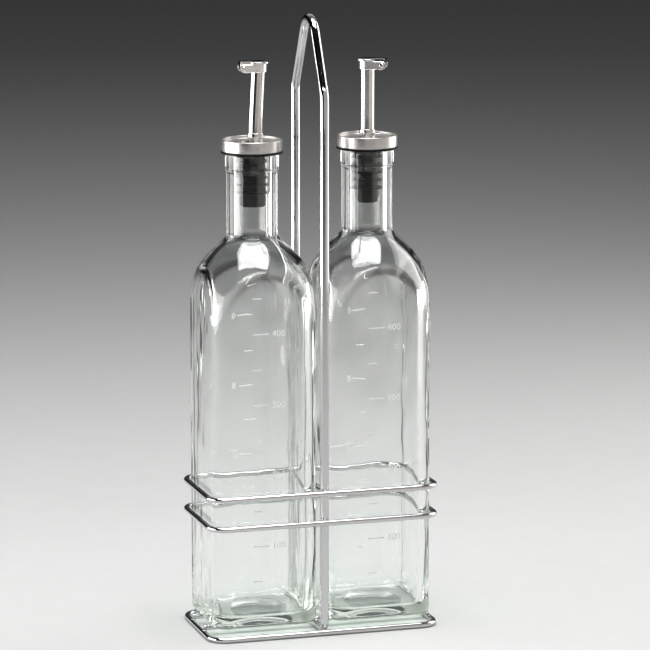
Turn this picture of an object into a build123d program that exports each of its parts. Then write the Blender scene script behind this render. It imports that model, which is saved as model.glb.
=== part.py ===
from build123d import *
from math import asin, atan2, cos, degrees, hypot, radians, sin, tan
import os

# Cruet set: two square glass bottles with pouring stoppers in a chromed wire stand.
# Millimetres, +Z up.  The origin is on the table, at the middle of the stand's base.
# +X runs along the stand, from the left bottle to the right one; -Y is its front.

# ---- Driving sizes: bottle -------------------------------------------------------
bottle_side = 58.0  # across the flats of the square body
bottle_height = 255.0  # foot to the top of the neck finish
body_corner = 8.0  # upright corner radius of the body
heel_radius = 3.0  # rounding round the foot of the bottle
glass_wall = 3.4  # side wall
floor_thickness = 6.0  # glass under the contents
shoulder_drop = 93.0  # mouth down to where the shoulder begins to close in
shoulder_radius = 57.3  # radius of the shoulder's arch
shoulder_margin = 0.8  # how far outside the body's corners that arch begins
shoulder_blend = 3.5  # softening where the arch runs into the flat sides
neck_root_radius = 5.0  # hollow rounding between shoulder and neck
neck_bore = 18.5
neck_wall = 4.5
finish_step = 0.7  # how far the thicker band at the mouth stands out from the neck
finish_height = 9.0
finish_edge = 0.8  # rounding on the band's edges
punt_diameter = 34.0  # shallow hollow under the foot
punt_depth = 1.4

# ---- Driving sizes: stand --------------------------------------------------------
wire = 3.2  # rings, base frame, base wires and divider
rod = 5.0  # handle rod
weld_sink = 0.3  # how far one wire is pressed into the other at a weld
rod_gap = 0.8  # between the handle rod and each bottle
end_gap = 0.7  # between a bottle and the short end of a ring
side_gap = 0.5  # between a bottle and the long side of a ring
rest_gap = 0.05  # between a bottle's foot and the base wires
ring_corner = 9.0  # centreline radius at a ring's corners
lower_ring_height = 62.6  # centreline
upper_ring_height = 78.7  # centreline
base_wire_spacing = 24.0  # between the two long wires under the bottles
handle_height = 335.0  # table to the top of the handle
handle_arm_rise = 41.0  # top of the handle down to where the legs turn into the arms
handle_apex_radius = 11.5  # centreline, at the top of the handle
handle_bend_radius = 14.0
handle_foot_radius = 3.5

# ---- Driving sizes: pouring stopper ----------------------------------------------
flange_overhang = 2.25  # rubber rim beyond the mouth of the bottle
flange_thickness = 1.1
flange_gap = 0.05  # between that rim and the glass
collar_step = 0.4  # rubber rim beyond the side of the steel cap
collar_height = 6.3
collar_wall = 0.7
collar_rim = 1.1  # width of the raised rim round the recessed top
collar_recess = 1.5
collar_edge = 0.4
plug_length = 28.8  # rubber below the rim, inside the neck
plug_wall = 1.7  # rubber round the spout
plug_chamfer = 0.8
fin_count = 5
fin_pitch = 4.2
fin_thickness = 0.9
fin_first = 4.6  # below the rubber rim
fin_gap = 0.1  # between a fin's edge and the bore
tube_diameter = 7.6
tube_wall = 0.5
tube_offset = 1.9  # spout's distance from the stopper's axis
tube_rise = 41.85  # recessed top of the collar to the mouth of the spout
tube_straight = 4.0  # stands upright above the ferrule before it leans
tube_bend = 30.0  # centreline radius of that gentle bend
ferrule_wall = 0.5
ferrule_height = 4.8
ferrule_edge = 0.3
vent_diameter = 1.8  # air passage beside the spout
vent_gap = 2.8  # spout's outside to the middle of that passage
vent_wall = 1.3  # rubber round the air passage
vent_lip = 2.8
vent_lip_height = 0.5

# ---- Driving sizes: lid and its hinge --------------------------------------------
clip_height = 4.35
clip_wall = 0.7
hinge_gap = 3.7  # outside of the clip's strap to the middle of the hinge pin
pin_diameter = 1.6
pin_head = 2.6
pin_head_height = 0.4
pin_clear = 0.05  # radial, between pin and lid
lid_overhang = 1.2  # beyond the clip's strap
lid_thickness = 1.5
lid_edge = 0.5
lid_gap = 0.05  # between a closed lid and the spout
knuckle_gap = 0.25  # each side of the lid's knuckle, between the ears
knuckle_wall = 1.0

# ---- The two pourers: where each one's spout leans and where its hinge points ----
# side name, place along X (in bottle pitches), spout bearing, hinge bearing, lean
pourers = [
    ("left", -0.5, -5.0, 175.0, 3.0),
    ("right", 0.5, -105.0, -25.0, 3.0),
]

# ---- Values that follow ----------------------------------------------------------
wire_r = wire / 2
rod_r = rod / 2
bottle_pitch = bottle_side + rod + 2 * rod_gap
ring_half_x = bottle_pitch / 2 + bottle_side / 2 + end_gap + wire_r
ring_half_y = bottle_side / 2 + side_gap + wire_r
leg_y = ring_half_y - wire_r + weld_sink - rod_r
base_wire_z = wire_r + wire - weld_sink
foot_z = base_wire_z + wire_r + rest_gap
mouth_z = foot_z + bottle_height
flange_z = mouth_z + flange_gap
collar_z = flange_z + flange_thickness
collar_top_z = collar_z + collar_height
deck_z = collar_top_z - collar_recess
spout_z = deck_z + tube_rise
lid_z = spout_z + lid_gap
pin_z = spout_z - clip_height / 2
reach_past = 5.0  # how far a cutting shape runs past what it cuts

shoulder_start = bottle_height - shoulder_drop
shoulder_reach = (bottle_side / 2 - body_corner) * 2**0.5 + body_corner + shoulder_margin
neck_diameter = neck_bore + 2 * neck_wall
finish_diameter = neck_diameter + 2 * finish_step
flange_diameter = finish_diameter + 2 * flange_overhang
collar_diameter = flange_diameter - 2 * collar_step
collar_inside = collar_diameter - 2 * collar_wall
handle_bend_height = handle_height - handle_arm_rise
plug_core = tube_diameter + 2 * plug_wall
vent_offset = tube_diameter / 2 + vent_gap - tube_offset
vent_core = vent_diameter + 2 * vent_wall
ferrule_diameter = tube_diameter + 2 * ferrule_wall
ear_outside = tube_diameter + 2 * clip_wall
hinge_reach = ear_outside / 2 + hinge_gap
lid_diameter = ear_outside + 2 * lid_overhang


# ---- Wire stand ------------------------------------------------------------------
def round_section(path, diameter):
    """A round section standing square to the start of a path."""
    return Plane(origin=path @ 0, z_dir=path % 0) * Circle(diameter / 2)


def wire_loop(height):
    """A rounded rectangle of round wire, lying level."""
    outline = RectangleRounded(2 * ring_half_x, 2 * ring_half_y, ring_corner)
    path = Pos(0, 0, height) * outline.face().outer_wire()
    return sweep(round_section(path, wire), path)


def handle_rod():
    """One closed loop: across the base, up both sides and over in a pointed arch."""
    arc_z = handle_height - rod_r - handle_apex_radius
    rise = arc_z - handle_bend_height
    lean = atan2(leg_y, rise) - asin(handle_apex_radius / hypot(leg_y, rise))
    peak_z = handle_bend_height + leg_y / tan(lean)
    corners = [
        ((leg_y, rod_r), handle_foot_radius),
        ((leg_y, handle_bend_height), handle_bend_radius),
        ((0, peak_z), handle_apex_radius),
        ((-leg_y, handle_bend_height), handle_bend_radius),
        ((-leg_y, rod_r), handle_foot_radius),
    ]
    points = [(0, y, z) for (y, z), _ in corners]
    radii = [radius for _, radius in corners]
    path = Wire(FilletPolyline(*points, radius=radii, close=True).edges())
    return sweep(round_section(path, rod), path)


def stand():
    """The seven wires of the stand, one let into the other at each weld."""
    frame = wire_loop(wire_r)
    pieces = {}
    for name, sign in (("base_wire_front", -1), ("base_wire_back", 1)):
        place = Pos(0, sign * base_wire_spacing / 2, base_wire_z) * Rot(0, 90, 0)
        pieces[name] = place * Cylinder(wire_r, 2 * ring_half_x) - frame
    handle = handle_rod() - pieces["base_wire_front"] - pieces["base_wire_back"]
    across = Pos(0, 0, upper_ring_height) * Rot(90, 0, 0)
    pieces["handle_rod"] = handle
    pieces["base_frame"] = frame - handle
    pieces["lower_ring"] = wire_loop(lower_ring_height) - handle
    pieces["upper_ring"] = wire_loop(upper_ring_height) - handle
    pieces["divider_bar"] = across * Cylinder(wire_r, 2 * leg_y) - handle
    return pieces


# ---- Glass bottle ----------------------------------------------------------------
def turned_outline(offset, neck_radius, low, high):
    """Revolved envelope of shoulder and neck, set in from the outside by an offset."""
    centre_r = shoulder_reach - shoulder_radius
    radius = shoulder_radius - offset
    join_z = shoulder_start + (radius**2 - (neck_radius - centre_r) ** 2) ** 0.5
    turn = atan2(join_z - shoulder_start, neck_radius - centre_r)
    middle = (centre_r + radius * cos(turn / 2), shoulder_start + radius * sin(turn / 2))
    start = (centre_r + radius, shoulder_start)
    wide = start[0] + reach_past
    edges = [
        Line((0, low), (wide, low)),
        Line((wide, low), (wide, shoulder_start)),
        Line((wide, shoulder_start), start),
        ThreePointArc(start, middle, (neck_radius, join_z)),
        Line((neck_radius, join_z), (neck_radius, high)),
        Line((neck_radius, high), (0, high)),
        Line((0, high), (0, low)),
    ]
    profile = Plane.XZ * make_face(Wire(edges).edges())
    turned = revolve(profile, Axis.Z)
    roots = turned.edges().filter_by(GeomType.CIRCLE)
    root = roots.filter_by(lambda e: abs(e.center().Z - join_z) < 0.01)
    return fillet(root, neck_root_radius - offset / 2)


def square_block(side, corner, low, high, edge):
    """An upright square prism with round corners and a rounded foot."""
    block = Pos(0, 0, low) * extrude(RectangleRounded(side, side, corner), high - low)
    return fillet(block.faces().sort_by(Axis.Z)[0].edges(), edge)


def arch_edges(solid, half_side):
    """The edges where the shoulder's arch meets the sides of the body."""
    low = shoulder_start - reach_past
    found = []
    for edge in solid.edges():
        box = edge.bounding_box()
        reach = max(box.max.X, box.max.Y, -box.min.X, -box.min.Y)
        if box.min.Z > low and box.size.Z > 1 and reach > half_side * 0.6:
            if edge.geom_type not in (GeomType.LINE, GeomType.CIRCLE):
                found.append(edge)
    return found


def glass_bottle():
    """Square body, arched shoulder, round neck with a thicker mouth; hollow."""
    top = bottle_height
    outer = turned_outline(0, neck_diameter / 2, 0, top)
    outer &= square_block(bottle_side, body_corner, 0, top, heel_radius)
    outer = fillet(arch_edges(outer, bottle_side / 2), shoulder_blend)
    band = Pos(0, 0, top - finish_height / 2) * Cylinder(finish_diameter / 2, finish_height)
    outer += fillet(band.edges().filter_by(GeomType.CIRCLE), finish_edge)

    inner_side = bottle_side - 2 * glass_wall
    inner_corner = body_corner - glass_wall
    inner = turned_outline(glass_wall, neck_bore / 2, 0, top + reach_past)
    inner &= square_block(inner_side, inner_corner, floor_thickness, top + reach_past, heel_radius)

    cap = (punt_diameter**2 / 4 + punt_depth**2) / (2 * punt_depth)
    punt = Pos(0, 0, punt_depth - cap) * Sphere(cap)
    return outer - inner - punt


# ---- Pouring stopper, about its own axis, spout towards +X -----------------------
def cylinder_up(diameter, low, high, x=0):
    """An upright cylinder between two heights, on the X axis."""
    return Pos(x, 0, low) * extrude(Circle(diameter / 2), high - low)


def stopper():
    """Black rubber: rim, boss inside the collar, core round both passages, fins."""
    boss_top = deck_z - collar_wall
    core_low = flange_z - plug_length
    body = cylinder_up(flange_diameter, flange_z, collar_z)
    body += cylinder_up(collar_inside, collar_z, boss_top)
    core = Pos(tube_offset, 0) * Circle(plug_core / 2) + Pos(-vent_offset, 0) * Circle(vent_core / 2)
    core += Pos((tube_offset - vent_offset) / 2, 0) * Rectangle(tube_offset + vent_offset, vent_core)
    core = Pos(0, 0, core_low) * extrude(core, plug_length)
    body += chamfer(core.faces().sort_by(Axis.Z)[0].edges(), plug_chamfer)
    for index in range(fin_count):
        low = flange_z - fin_first - index * fin_pitch
        body += cylinder_up(neck_bore - 2 * fin_gap, low, low + fin_thickness)
    body -= cylinder_up(tube_diameter, core_low - reach_past, boss_top + reach_past, tube_offset)
    return body - cylinder_up(vent_diameter, core_low - reach_past, boss_top + reach_past, -vent_offset)


def collar():
    """Pressed steel cap: plain side, raised rim, recessed top with two holes."""
    shell = cylinder_up(collar_diameter, collar_z, collar_top_z)
    shell = fillet(shell.edges().sort_by(Axis.Z)[-1], collar_edge)
    under_deck = deck_z - collar_wall
    shell -= cylinder_up(collar_inside, collar_z, under_deck)
    shell -= cylinder_up(collar_diameter - 2 * collar_rim, deck_z, collar_top_z)
    shell += cylinder_up(vent_lip, deck_z, deck_z + vent_lip_height, -vent_offset)
    shell -= cylinder_up(tube_diameter, under_deck, collar_top_z, tube_offset)
    return shell - cylinder_up(vent_diameter, under_deck, collar_top_z, -vent_offset)


def spout_solid(diameter, lean):
    """The spout as a solid bar: up through the stopper, then leaning to a level mouth."""
    foot = (tube_offset, 0, flange_z - plug_length)
    knee = (tube_offset, 0, deck_z + ferrule_height + tube_straight)
    end_z = spout_z + reach_past
    end = (tube_offset + (end_z - knee[2]) * tan(radians(lean)), 0, end_z)
    path = Wire(FilletPolyline(foot, knee, end, radius=tube_bend).edges())
    bar = sweep(round_section(path, diameter), path)
    above = Pos(0, 0, spout_z + reach_past) * Box(collar_diameter, collar_diameter, 2 * reach_past)
    return bar - above


def spout_tube(lean):
    """Thin steel tube, gently bent."""
    return spout_solid(tube_diameter, lean) - spout_solid(tube_diameter - 2 * tube_wall, lean)


def spout_ferrule():
    """Plain steel ring round the foot of the spout."""
    top = deck_z + ferrule_height
    ring = cylinder_up(ferrule_diameter, deck_z, top, tube_offset)
    ring = chamfer(ring.edges().sort_by(Axis.Z)[-1], ferrule_edge)
    return ring - cylinder_up(tube_diameter, deck_z, top, tube_offset)


# ---- Hinged lid, about the middle of the spout's mouth, hinge towards +X ----------
clip_middle = Pos(0, 0, spout_z - clip_height / 2)
hinge_line = Pos(hinge_reach, 0, pin_z) * Rot(90, 0, 0)


def hinge_clip():
    """Strap round the spout, its two ends running back as ears for the pin."""
    body = clip_middle * Cylinder(ear_outside / 2, clip_height)
    body += clip_middle * Pos(hinge_reach / 2, 0) * Box(hinge_reach, ear_outside, clip_height)
    body += hinge_line * Cylinder(clip_height / 2, ear_outside)
    slot_length = 2 * (hinge_reach - ear_outside / 2)
    body -= clip_middle * Pos(hinge_reach, 0) * Box(slot_length, tube_diameter, clip_height)
    return body - hinge_line * Cylinder(pin_diameter / 2, ear_outside)


def hinge_pin():
    """Rivet through the ears, headed at both ends."""
    pin = hinge_line * Cylinder(pin_diameter / 2, ear_outside)
    for sign in (-1, 1):
        place = hinge_line * Pos(0, 0, sign * (ear_outside + pin_head_height) / 2)
        pin += place * Cylinder(pin_head / 2, pin_head_height)
    return pin


def lid():
    """Flat round flap with a tongue that ends in a knuckle on the pin."""
    top = lid_z + lid_thickness
    knuckle_width = tube_diameter - 2 * knuckle_gap
    bore = pin_diameter + 2 * pin_clear
    knuckle_r = bore / 2 + knuckle_wall
    flap = cylinder_up(lid_diameter, lid_z, top)
    flap = chamfer(flap.edges().sort_by(Axis.Z)[-1], lid_edge)
    tongue_end = hinge_reach + knuckle_r
    tongue = Pos(tongue_end / 2, 0, (lid_z + top) / 2) * Box(tongue_end, knuckle_width, top - lid_z)
    body = flap + fillet(tongue.edges().filter_by(Axis.Y).sort_by(SortBy.DISTANCE)[-1], lid_edge)
    web = Pos(hinge_reach, 0, (pin_z + lid_z) / 2)
    body += web * Box(2 * knuckle_r, knuckle_width, lid_z - pin_z)
    body += hinge_line * Cylinder(knuckle_r, knuckle_width)
    return body - hinge_line * Cylinder(bore / 2, ear_outside)


def pourer(place_x, spout_bearing, hinge_bearing, lean):
    """The seven pieces of one pouring stopper, in place on its bottle."""
    stand_at = Pos(place_x, 0, 0) * Rot(0, 0, spout_bearing)
    knee_z = deck_z + ferrule_height + tube_straight
    grip_z = spout_z - clip_height / 2
    mouth_x = tube_offset + (grip_z - knee_z) * tan(radians(lean))
    mouth = stand_at * Pos(mouth_x, 0, 0) * Rot(0, 0, hinge_bearing - spout_bearing)
    return {
        "stopper": stand_at * stopper(),
        "collar": stand_at * collar(),
        "spout_tube": stand_at * spout_tube(lean),
        "spout_ferrule": stand_at * spout_ferrule(),
        "hinge_clip": mouth * hinge_clip() - stand_at * spout_solid(tube_diameter, lean),
        "hinge_pin": mouth * hinge_pin(),
        "lid": mouth * lid(),
    }


# ---- Put together and write ------------------------------------------------------
pieces = stand()
for side, place, spout_bearing, hinge_bearing, lean in pourers:
    place_x = place * bottle_pitch
    pieces["bottle_" + side] = Pos(place_x, 0, foot_z) * glass_bottle()
    for name, piece in pourer(place_x, spout_bearing, hinge_bearing, lean).items():
        pieces[name + "_" + side] = piece

os.makedirs("parts", exist_ok=True)
for name, piece in pieces.items():
    piece.label = name
    export_step(piece, "parts/" + name + ".step")
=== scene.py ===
import math

import bmesh
import bpy
from mathutils import Matrix, Vector, noise


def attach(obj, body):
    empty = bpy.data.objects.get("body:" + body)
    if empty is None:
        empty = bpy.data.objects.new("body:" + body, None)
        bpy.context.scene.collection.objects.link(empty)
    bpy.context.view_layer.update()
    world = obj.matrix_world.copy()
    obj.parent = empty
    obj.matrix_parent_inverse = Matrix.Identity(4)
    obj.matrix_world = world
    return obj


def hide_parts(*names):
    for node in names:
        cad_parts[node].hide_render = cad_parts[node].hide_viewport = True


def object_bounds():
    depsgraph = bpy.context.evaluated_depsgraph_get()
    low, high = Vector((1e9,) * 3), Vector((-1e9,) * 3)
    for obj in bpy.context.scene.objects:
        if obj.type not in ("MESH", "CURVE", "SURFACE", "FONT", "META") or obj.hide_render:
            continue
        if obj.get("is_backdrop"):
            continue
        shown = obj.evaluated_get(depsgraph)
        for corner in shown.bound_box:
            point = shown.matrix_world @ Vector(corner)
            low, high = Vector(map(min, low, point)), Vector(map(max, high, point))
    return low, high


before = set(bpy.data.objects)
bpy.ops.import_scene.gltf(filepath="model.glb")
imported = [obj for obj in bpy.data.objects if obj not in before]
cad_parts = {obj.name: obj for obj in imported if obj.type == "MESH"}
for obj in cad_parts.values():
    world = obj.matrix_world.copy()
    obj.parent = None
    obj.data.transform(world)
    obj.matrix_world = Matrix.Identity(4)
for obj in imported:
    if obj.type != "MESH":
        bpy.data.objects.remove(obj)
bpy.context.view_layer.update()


# ---- Stand: base frame, cross wires, bottle rings and divider --------------------
# Mild steel wire 3.2 mm thick, straightened, bent round a former and butt joined into
# loops, then spot welded together and nickel and chrome plated as one piece.
MM = 0.001
WIRE = 3.2 * MM
LOOP_HALF_X, LOOP_HALF_Y, LOOP_CORNER = 63.6 * MM, 31.1 * MM, 9.0 * MM
LOWER_RING_Z, UPPER_RING_Z = 62.6 * MM, 78.7 * MM
CROSS_WIRE_Y, CROSS_WIRE_Z = 12.0 * MM, 4.5 * MM
LEG_Y = 27.3 * MM
PULL_MARK = 0.02 * MM  # how far drawn and bent wire wanders from a true round


def add_node(tree, kind, **settings):
    """A node with some of its own settings."""
    node = tree.nodes.new(kind)
    for key, value in settings.items():
        setattr(node, key, value)
    return node


def wire_up(tree, *pairs):
    """Links given as (output socket, input socket)."""
    for source, target in pairs:
        tree.links.new(source, target)


def new_finish(name):
    """An empty material with its Principled shader and the piece's own coordinates."""
    finish = bpy.data.materials.new(name)
    finish.use_nodes = True
    tree = finish.node_tree
    shader = tree.nodes["Principled BSDF"]
    place = add_node(tree, "ShaderNodeTexCoord")
    return finish, tree, shader, place.outputs["Object"]


def grain(tree, place, scale, detail=3.0, roughness=0.55, stretch=(1, 1, 1), centre=(0, 0, 0)):
    """Noise at so many waves a metre, drawn out along an axis and centred on the piece."""
    mapping = add_node(tree, "ShaderNodeMapping")
    mapping.inputs["Location"].default_value = [-c * s for c, s in zip(centre, stretch)]
    mapping.inputs["Scale"].default_value = stretch
    cloud = add_node(tree, "ShaderNodeTexNoise")
    cloud.inputs["Scale"].default_value = scale
    cloud.inputs["Detail"].default_value = detail
    cloud.inputs["Roughness"].default_value = roughness
    wire_up(tree, (place, mapping.inputs["Vector"]), (mapping.outputs[0], cloud.inputs["Vector"]))
    return cloud.outputs["Fac"]


def spread(tree, value, low, high, start=0.3, end=0.7):
    """A noise value brought to lie between two numbers."""
    node = add_node(tree, "ShaderNodeMapRange")
    for key, number in (("From Min", start), ("From Max", end), ("To Min", low), ("To Max", high)):
        node.inputs[key].default_value = number
    wire_up(tree, (value, node.inputs["Value"]))
    return node.outputs["Result"]


def tint(tree, value, low, high):
    """A colour between two, picked by a value from 0 to 1."""
    ramp = add_node(tree, "ShaderNodeValToRGB")
    ramp.color_ramp.elements[0].color = (*low, 1)
    ramp.color_ramp.elements[1].color = (*high, 1)
    wire_up(tree, (value, ramp.inputs["Fac"]))
    return ramp.outputs["Color"]


def dents(tree, shader, *layers):
    """Bump layers given as (height value, depth in metres), one over the other."""
    last = None
    for height, depth in layers:
        bump = add_node(tree, "ShaderNodeBump")
        bump.inputs["Strength"].default_value = 1.0
        bump.inputs["Distance"].default_value = depth
        wire_up(tree, (height, bump.inputs["Height"]))
        if last is not None:
            wire_up(tree, (last, bump.inputs["Normal"]))
        last = bump.outputs["Normal"]
    wire_up(tree, (last, shader.inputs["Normal"]))


def bright_chrome():
    """Chrome plate: near mirror, faintly blue, with a light haze and fine wiping marks."""
    finish, tree, shader, place = new_finish("bright_chrome")
    haze = grain(tree, place, 90.0)
    specks = grain(tree, place, 2600.0, 2.0)
    shader.inputs["Metallic"].default_value = 1.0
    wire_up(
        tree,
        (tint(tree, haze, (0.53, 0.53, 0.535), (0.60, 0.60, 0.60)), shader.inputs["Base Color"]),
        (spread(tree, haze, 0.035, 0.085), shader.inputs["Roughness"]),
    )
    dents(tree, shader, (haze, 0.05 * MM), (specks, 0.0015 * MM))
    return finish


def bend_corners(corners, closed, step=6.0):
    """Straight runs joined by arcs; a corner is (point, radius) and step is in degrees."""
    points = []
    count = len(corners)
    for index, (corner, radius) in enumerate(corners):
        corner = Vector(corner)
        if radius == 0 or (not closed and index in (0, count - 1)):
            points.append(corner)
            continue
        back = (Vector(corners[index - 1][0]) - corner).normalized()
        ahead = (Vector(corners[(index + 1) % count][0]) - corner).normalized()
        half = back.angle(ahead) / 2
        middle = corner + (back + ahead).normalized() * (radius / math.sin(half))
        spoke = corner + back * (radius / math.tan(half)) - middle
        turn = math.pi - 2 * half
        axis = spoke.cross(-back).normalized()
        pieces = max(2, round(math.degrees(turn) / step))
        for i in range(pieces + 1):
            points.append(middle + Matrix.Rotation(turn * i / pieces, 3, axis) @ spoke)
    return points


def level_loop(height):
    """The path of a rounded rectangle of wire lying level."""
    x, y = LOOP_HALF_X, LOOP_HALF_Y
    corners = [((sx * x, sy * y, height), LOOP_CORNER) for sx, sy in ((1, 1), (-1, 1), (-1, -1), (1, -1))]
    return bend_corners(corners, True)


def new_object(name, mesh):
    """An object at the origin that holds a mesh."""
    thing = bpy.data.objects.new(name, mesh)
    bpy.context.scene.collection.objects.link(thing)
    return thing


def line_object(name, points, closed):
    """A chain of edges for a node tree to follow."""
    mesh = bpy.data.meshes.new(name)
    edges = [(i, i + 1) for i in range(len(points) - 1)]
    if closed:
        edges.append((len(points) - 1, 0))
    mesh.from_pydata(points, edges, [])
    return new_object(name, mesh)


def node_sockets(tree, sockets):
    """Named inputs for a geometry tree, and their identifiers."""
    tree.interface.new_socket("Geometry", in_out="OUTPUT", socket_type="NodeSocketGeometry")
    tree.interface.new_socket("Geometry", in_out="INPUT", socket_type="NodeSocketGeometry")
    kinds = {"f": "NodeSocketFloat", "i": "NodeSocketInt", "m": "NodeSocketMaterial"}
    return {
        name: tree.interface.new_socket(name, in_out="INPUT", socket_type=kinds[kind]).identifier
        for name, kind in sockets
    }


def uneven_skin(tree, given, mesh, waves):
    """Pushes a skin in and out by its unevenness, smooths and coats it, and ends the tree."""
    cloud = add_node(tree, "ShaderNodeTexNoise", noise_dimensions="4D")
    cloud.inputs["Scale"].default_value = waves
    cloud.inputs["Detail"].default_value = 1.0
    level = add_node(tree, "ShaderNodeMath", operation="SUBTRACT")
    level.inputs[1].default_value = 0.5
    swell = add_node(tree, "ShaderNodeMath", operation="MULTIPLY")
    outward = add_node(tree, "GeometryNodeInputNormal")
    push = add_node(tree, "ShaderNodeVectorMath", operation="SCALE")
    shift = add_node(tree, "GeometryNodeSetPosition")
    smooth = add_node(tree, "GeometryNodeSetShadeSmooth")
    real = add_node(tree, "GeometryNodeRealizeInstances")
    coat = add_node(tree, "GeometryNodeSetMaterial")
    result = add_node(tree, "NodeGroupOutput")
    wire_up(
        tree,
        (given["Seed"], cloud.inputs["W"]),
        (cloud.outputs["Fac"], level.inputs[0]),
        (level.outputs[0], swell.inputs[0]),
        (given["Unevenness"], swell.inputs[1]),
        (outward.outputs[0], push.inputs[0]),
        (swell.outputs[0], push.inputs["Scale"]),
        (mesh, shift.inputs["Geometry"]),
        (push.outputs[0], shift.inputs["Offset"]),
        (shift.outputs[0], smooth.inputs[0]),
        (smooth.outputs[0], real.inputs[0]),
        (real.outputs[0], coat.inputs["Geometry"]),
        (given["Finish"], coat.inputs["Material"]),
        (coat.outputs[0], result.inputs[0]),
    )


def drawn_wire_tree():
    """Round wire swept along a path, a little uneven along its length."""
    tree = bpy.data.node_groups.new("Drawn wire", "GeometryNodeTree")
    names = node_sockets(tree, [
        ("Diameter", "f"), ("Sides", "i"), ("Step", "f"), ("Unevenness", "f"), ("Seed", "f"), ("Finish", "m"),
    ])
    given = add_node(tree, "NodeGroupInput").outputs
    follow = add_node(tree, "GeometryNodeMeshToCurve")
    even = add_node(tree, "GeometryNodeResampleCurve", mode="LENGTH")
    half = add_node(tree, "ShaderNodeMath", operation="MULTIPLY")
    half.inputs[1].default_value = 0.5
    slim = add_node(tree, "ShaderNodeMath", operation="SUBTRACT")
    ring = add_node(tree, "GeometryNodeCurvePrimitiveCircle")
    sweep = add_node(tree, "GeometryNodeCurveToMesh")
    sweep.inputs["Fill Caps"].default_value = True
    wire_up(
        tree,
        (given["Geometry"], follow.inputs[0]),
        (follow.outputs[0], even.inputs["Curve"]),
        (given["Step"], even.inputs["Length"]),
        (given["Diameter"], half.inputs[0]),
        (half.outputs[0], slim.inputs[0]),
        (given["Unevenness"], slim.inputs[1]),
        (given["Sides"], ring.inputs["Resolution"]),
        (slim.outputs[0], ring.inputs["Radius"]),
        (even.outputs["Curve"], sweep.inputs["Curve"]),
        (ring.outputs["Curve"], sweep.inputs["Profile Curve"]),
    )
    uneven_skin(tree, given, sweep.outputs["Mesh"], 45.0)
    return tree, names


def grow(source, tree, names, **values):
    """Runs a geometry tree on an object and keeps the outcome as that object's plain mesh."""
    modifier = source.modifiers.new("grow", "NODES")
    modifier.node_group = tree
    for key, value in values.items():
        modifier[names[key]] = value
    bpy.context.view_layer.update()
    mesh = bpy.data.meshes.new_from_object(source.evaluated_get(bpy.context.evaluated_depsgraph_get()))
    mesh.name = source.name
    source.modifiers.remove(modifier)
    source.data = mesh
    return source


def settle(thing, body, slot, *nodes):
    """A finished piece rides on its body and stands for its nodes, whose CAD pieces are hidden; the slot is
    not used.
    """
    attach(thing, body)
    if nodes:
        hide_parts(*nodes)


chrome = bright_chrome()
wire_tree, wire_inputs = drawn_wire_tree()


def bent_wire(name, points, closed, diameter, seed, sides=22):
    """One wire of the stand, standing for the CAD node of the same name."""
    wire = line_object("stand_" + name, points, closed)
    grow(
        wire, wire_tree, wire_inputs, Diameter=diameter, Sides=sides, Step=1.5 * MM,
        Unevenness=PULL_MARK, Seed=seed, Finish=chrome,
    )
    settle(wire, "stand", "chrome", name)


bent_wire("base_frame", level_loop(WIRE / 2), True, WIRE, 1.0)
bent_wire("lower_ring", level_loop(LOWER_RING_Z), True, WIRE, 2.0)
bent_wire("upper_ring", level_loop(UPPER_RING_Z), True, WIRE, 3.0)
for wire_name, side, seed in (("base_wire_front", -1, 4.0), ("base_wire_back", 1, 5.0)):
    ends = [(end * LOOP_HALF_X, side * CROSS_WIRE_Y, CROSS_WIRE_Z) for end in (-1, 1)]
    bent_wire(wire_name, ends, False, WIRE, seed)
bent_wire("divider_bar", [(0, -LEG_Y, UPPER_RING_Z), (0, LEG_Y, UPPER_RING_Z)], False, WIRE, 6.0)


# ---- Stand: handle ---------------------------------------------------------------
# One 5 mm rod bent into a closed loop: under both cross wires, up both sides inside the
# rings and over in a pointed arch that the hand goes round.
ROD = 5.0 * MM
HANDLE_TOP, HANDLE_BEND_Z = 335.0 * MM, 294.0 * MM
FOOT_BEND, SIDE_BEND, TOP_BEND = 3.5 * MM, 14.0 * MM, 11.5 * MM

arc_z = HANDLE_TOP - ROD / 2 - TOP_BEND
arm_rise = arc_z - HANDLE_BEND_Z
arm_lean = math.atan2(LEG_Y, arm_rise) - math.asin(TOP_BEND / math.hypot(LEG_Y, arm_rise))
peak_z = HANDLE_BEND_Z + LEG_Y / math.tan(arm_lean)
handle_corners = [
    ((0, LEG_Y, ROD / 2), FOOT_BEND),
    ((0, LEG_Y, HANDLE_BEND_Z), SIDE_BEND),
    ((0, 0, peak_z), TOP_BEND),
    ((0, -LEG_Y, HANDLE_BEND_Z), SIDE_BEND),
    ((0, -LEG_Y, ROD / 2), FOOT_BEND),
]
bent_wire("handle_rod", bend_corners(handle_corners, True), True, ROD, 7.0, 28)


# ---- Stand: weld beads -----------------------------------------------------------
# Small swellings of squeezed-out metal where one wire was pressed into another by the
# spot welder, plated over with the rest: at the rings, the divider and the base.
BEAD_UNEVENNESS = 0.12 * MM


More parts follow.
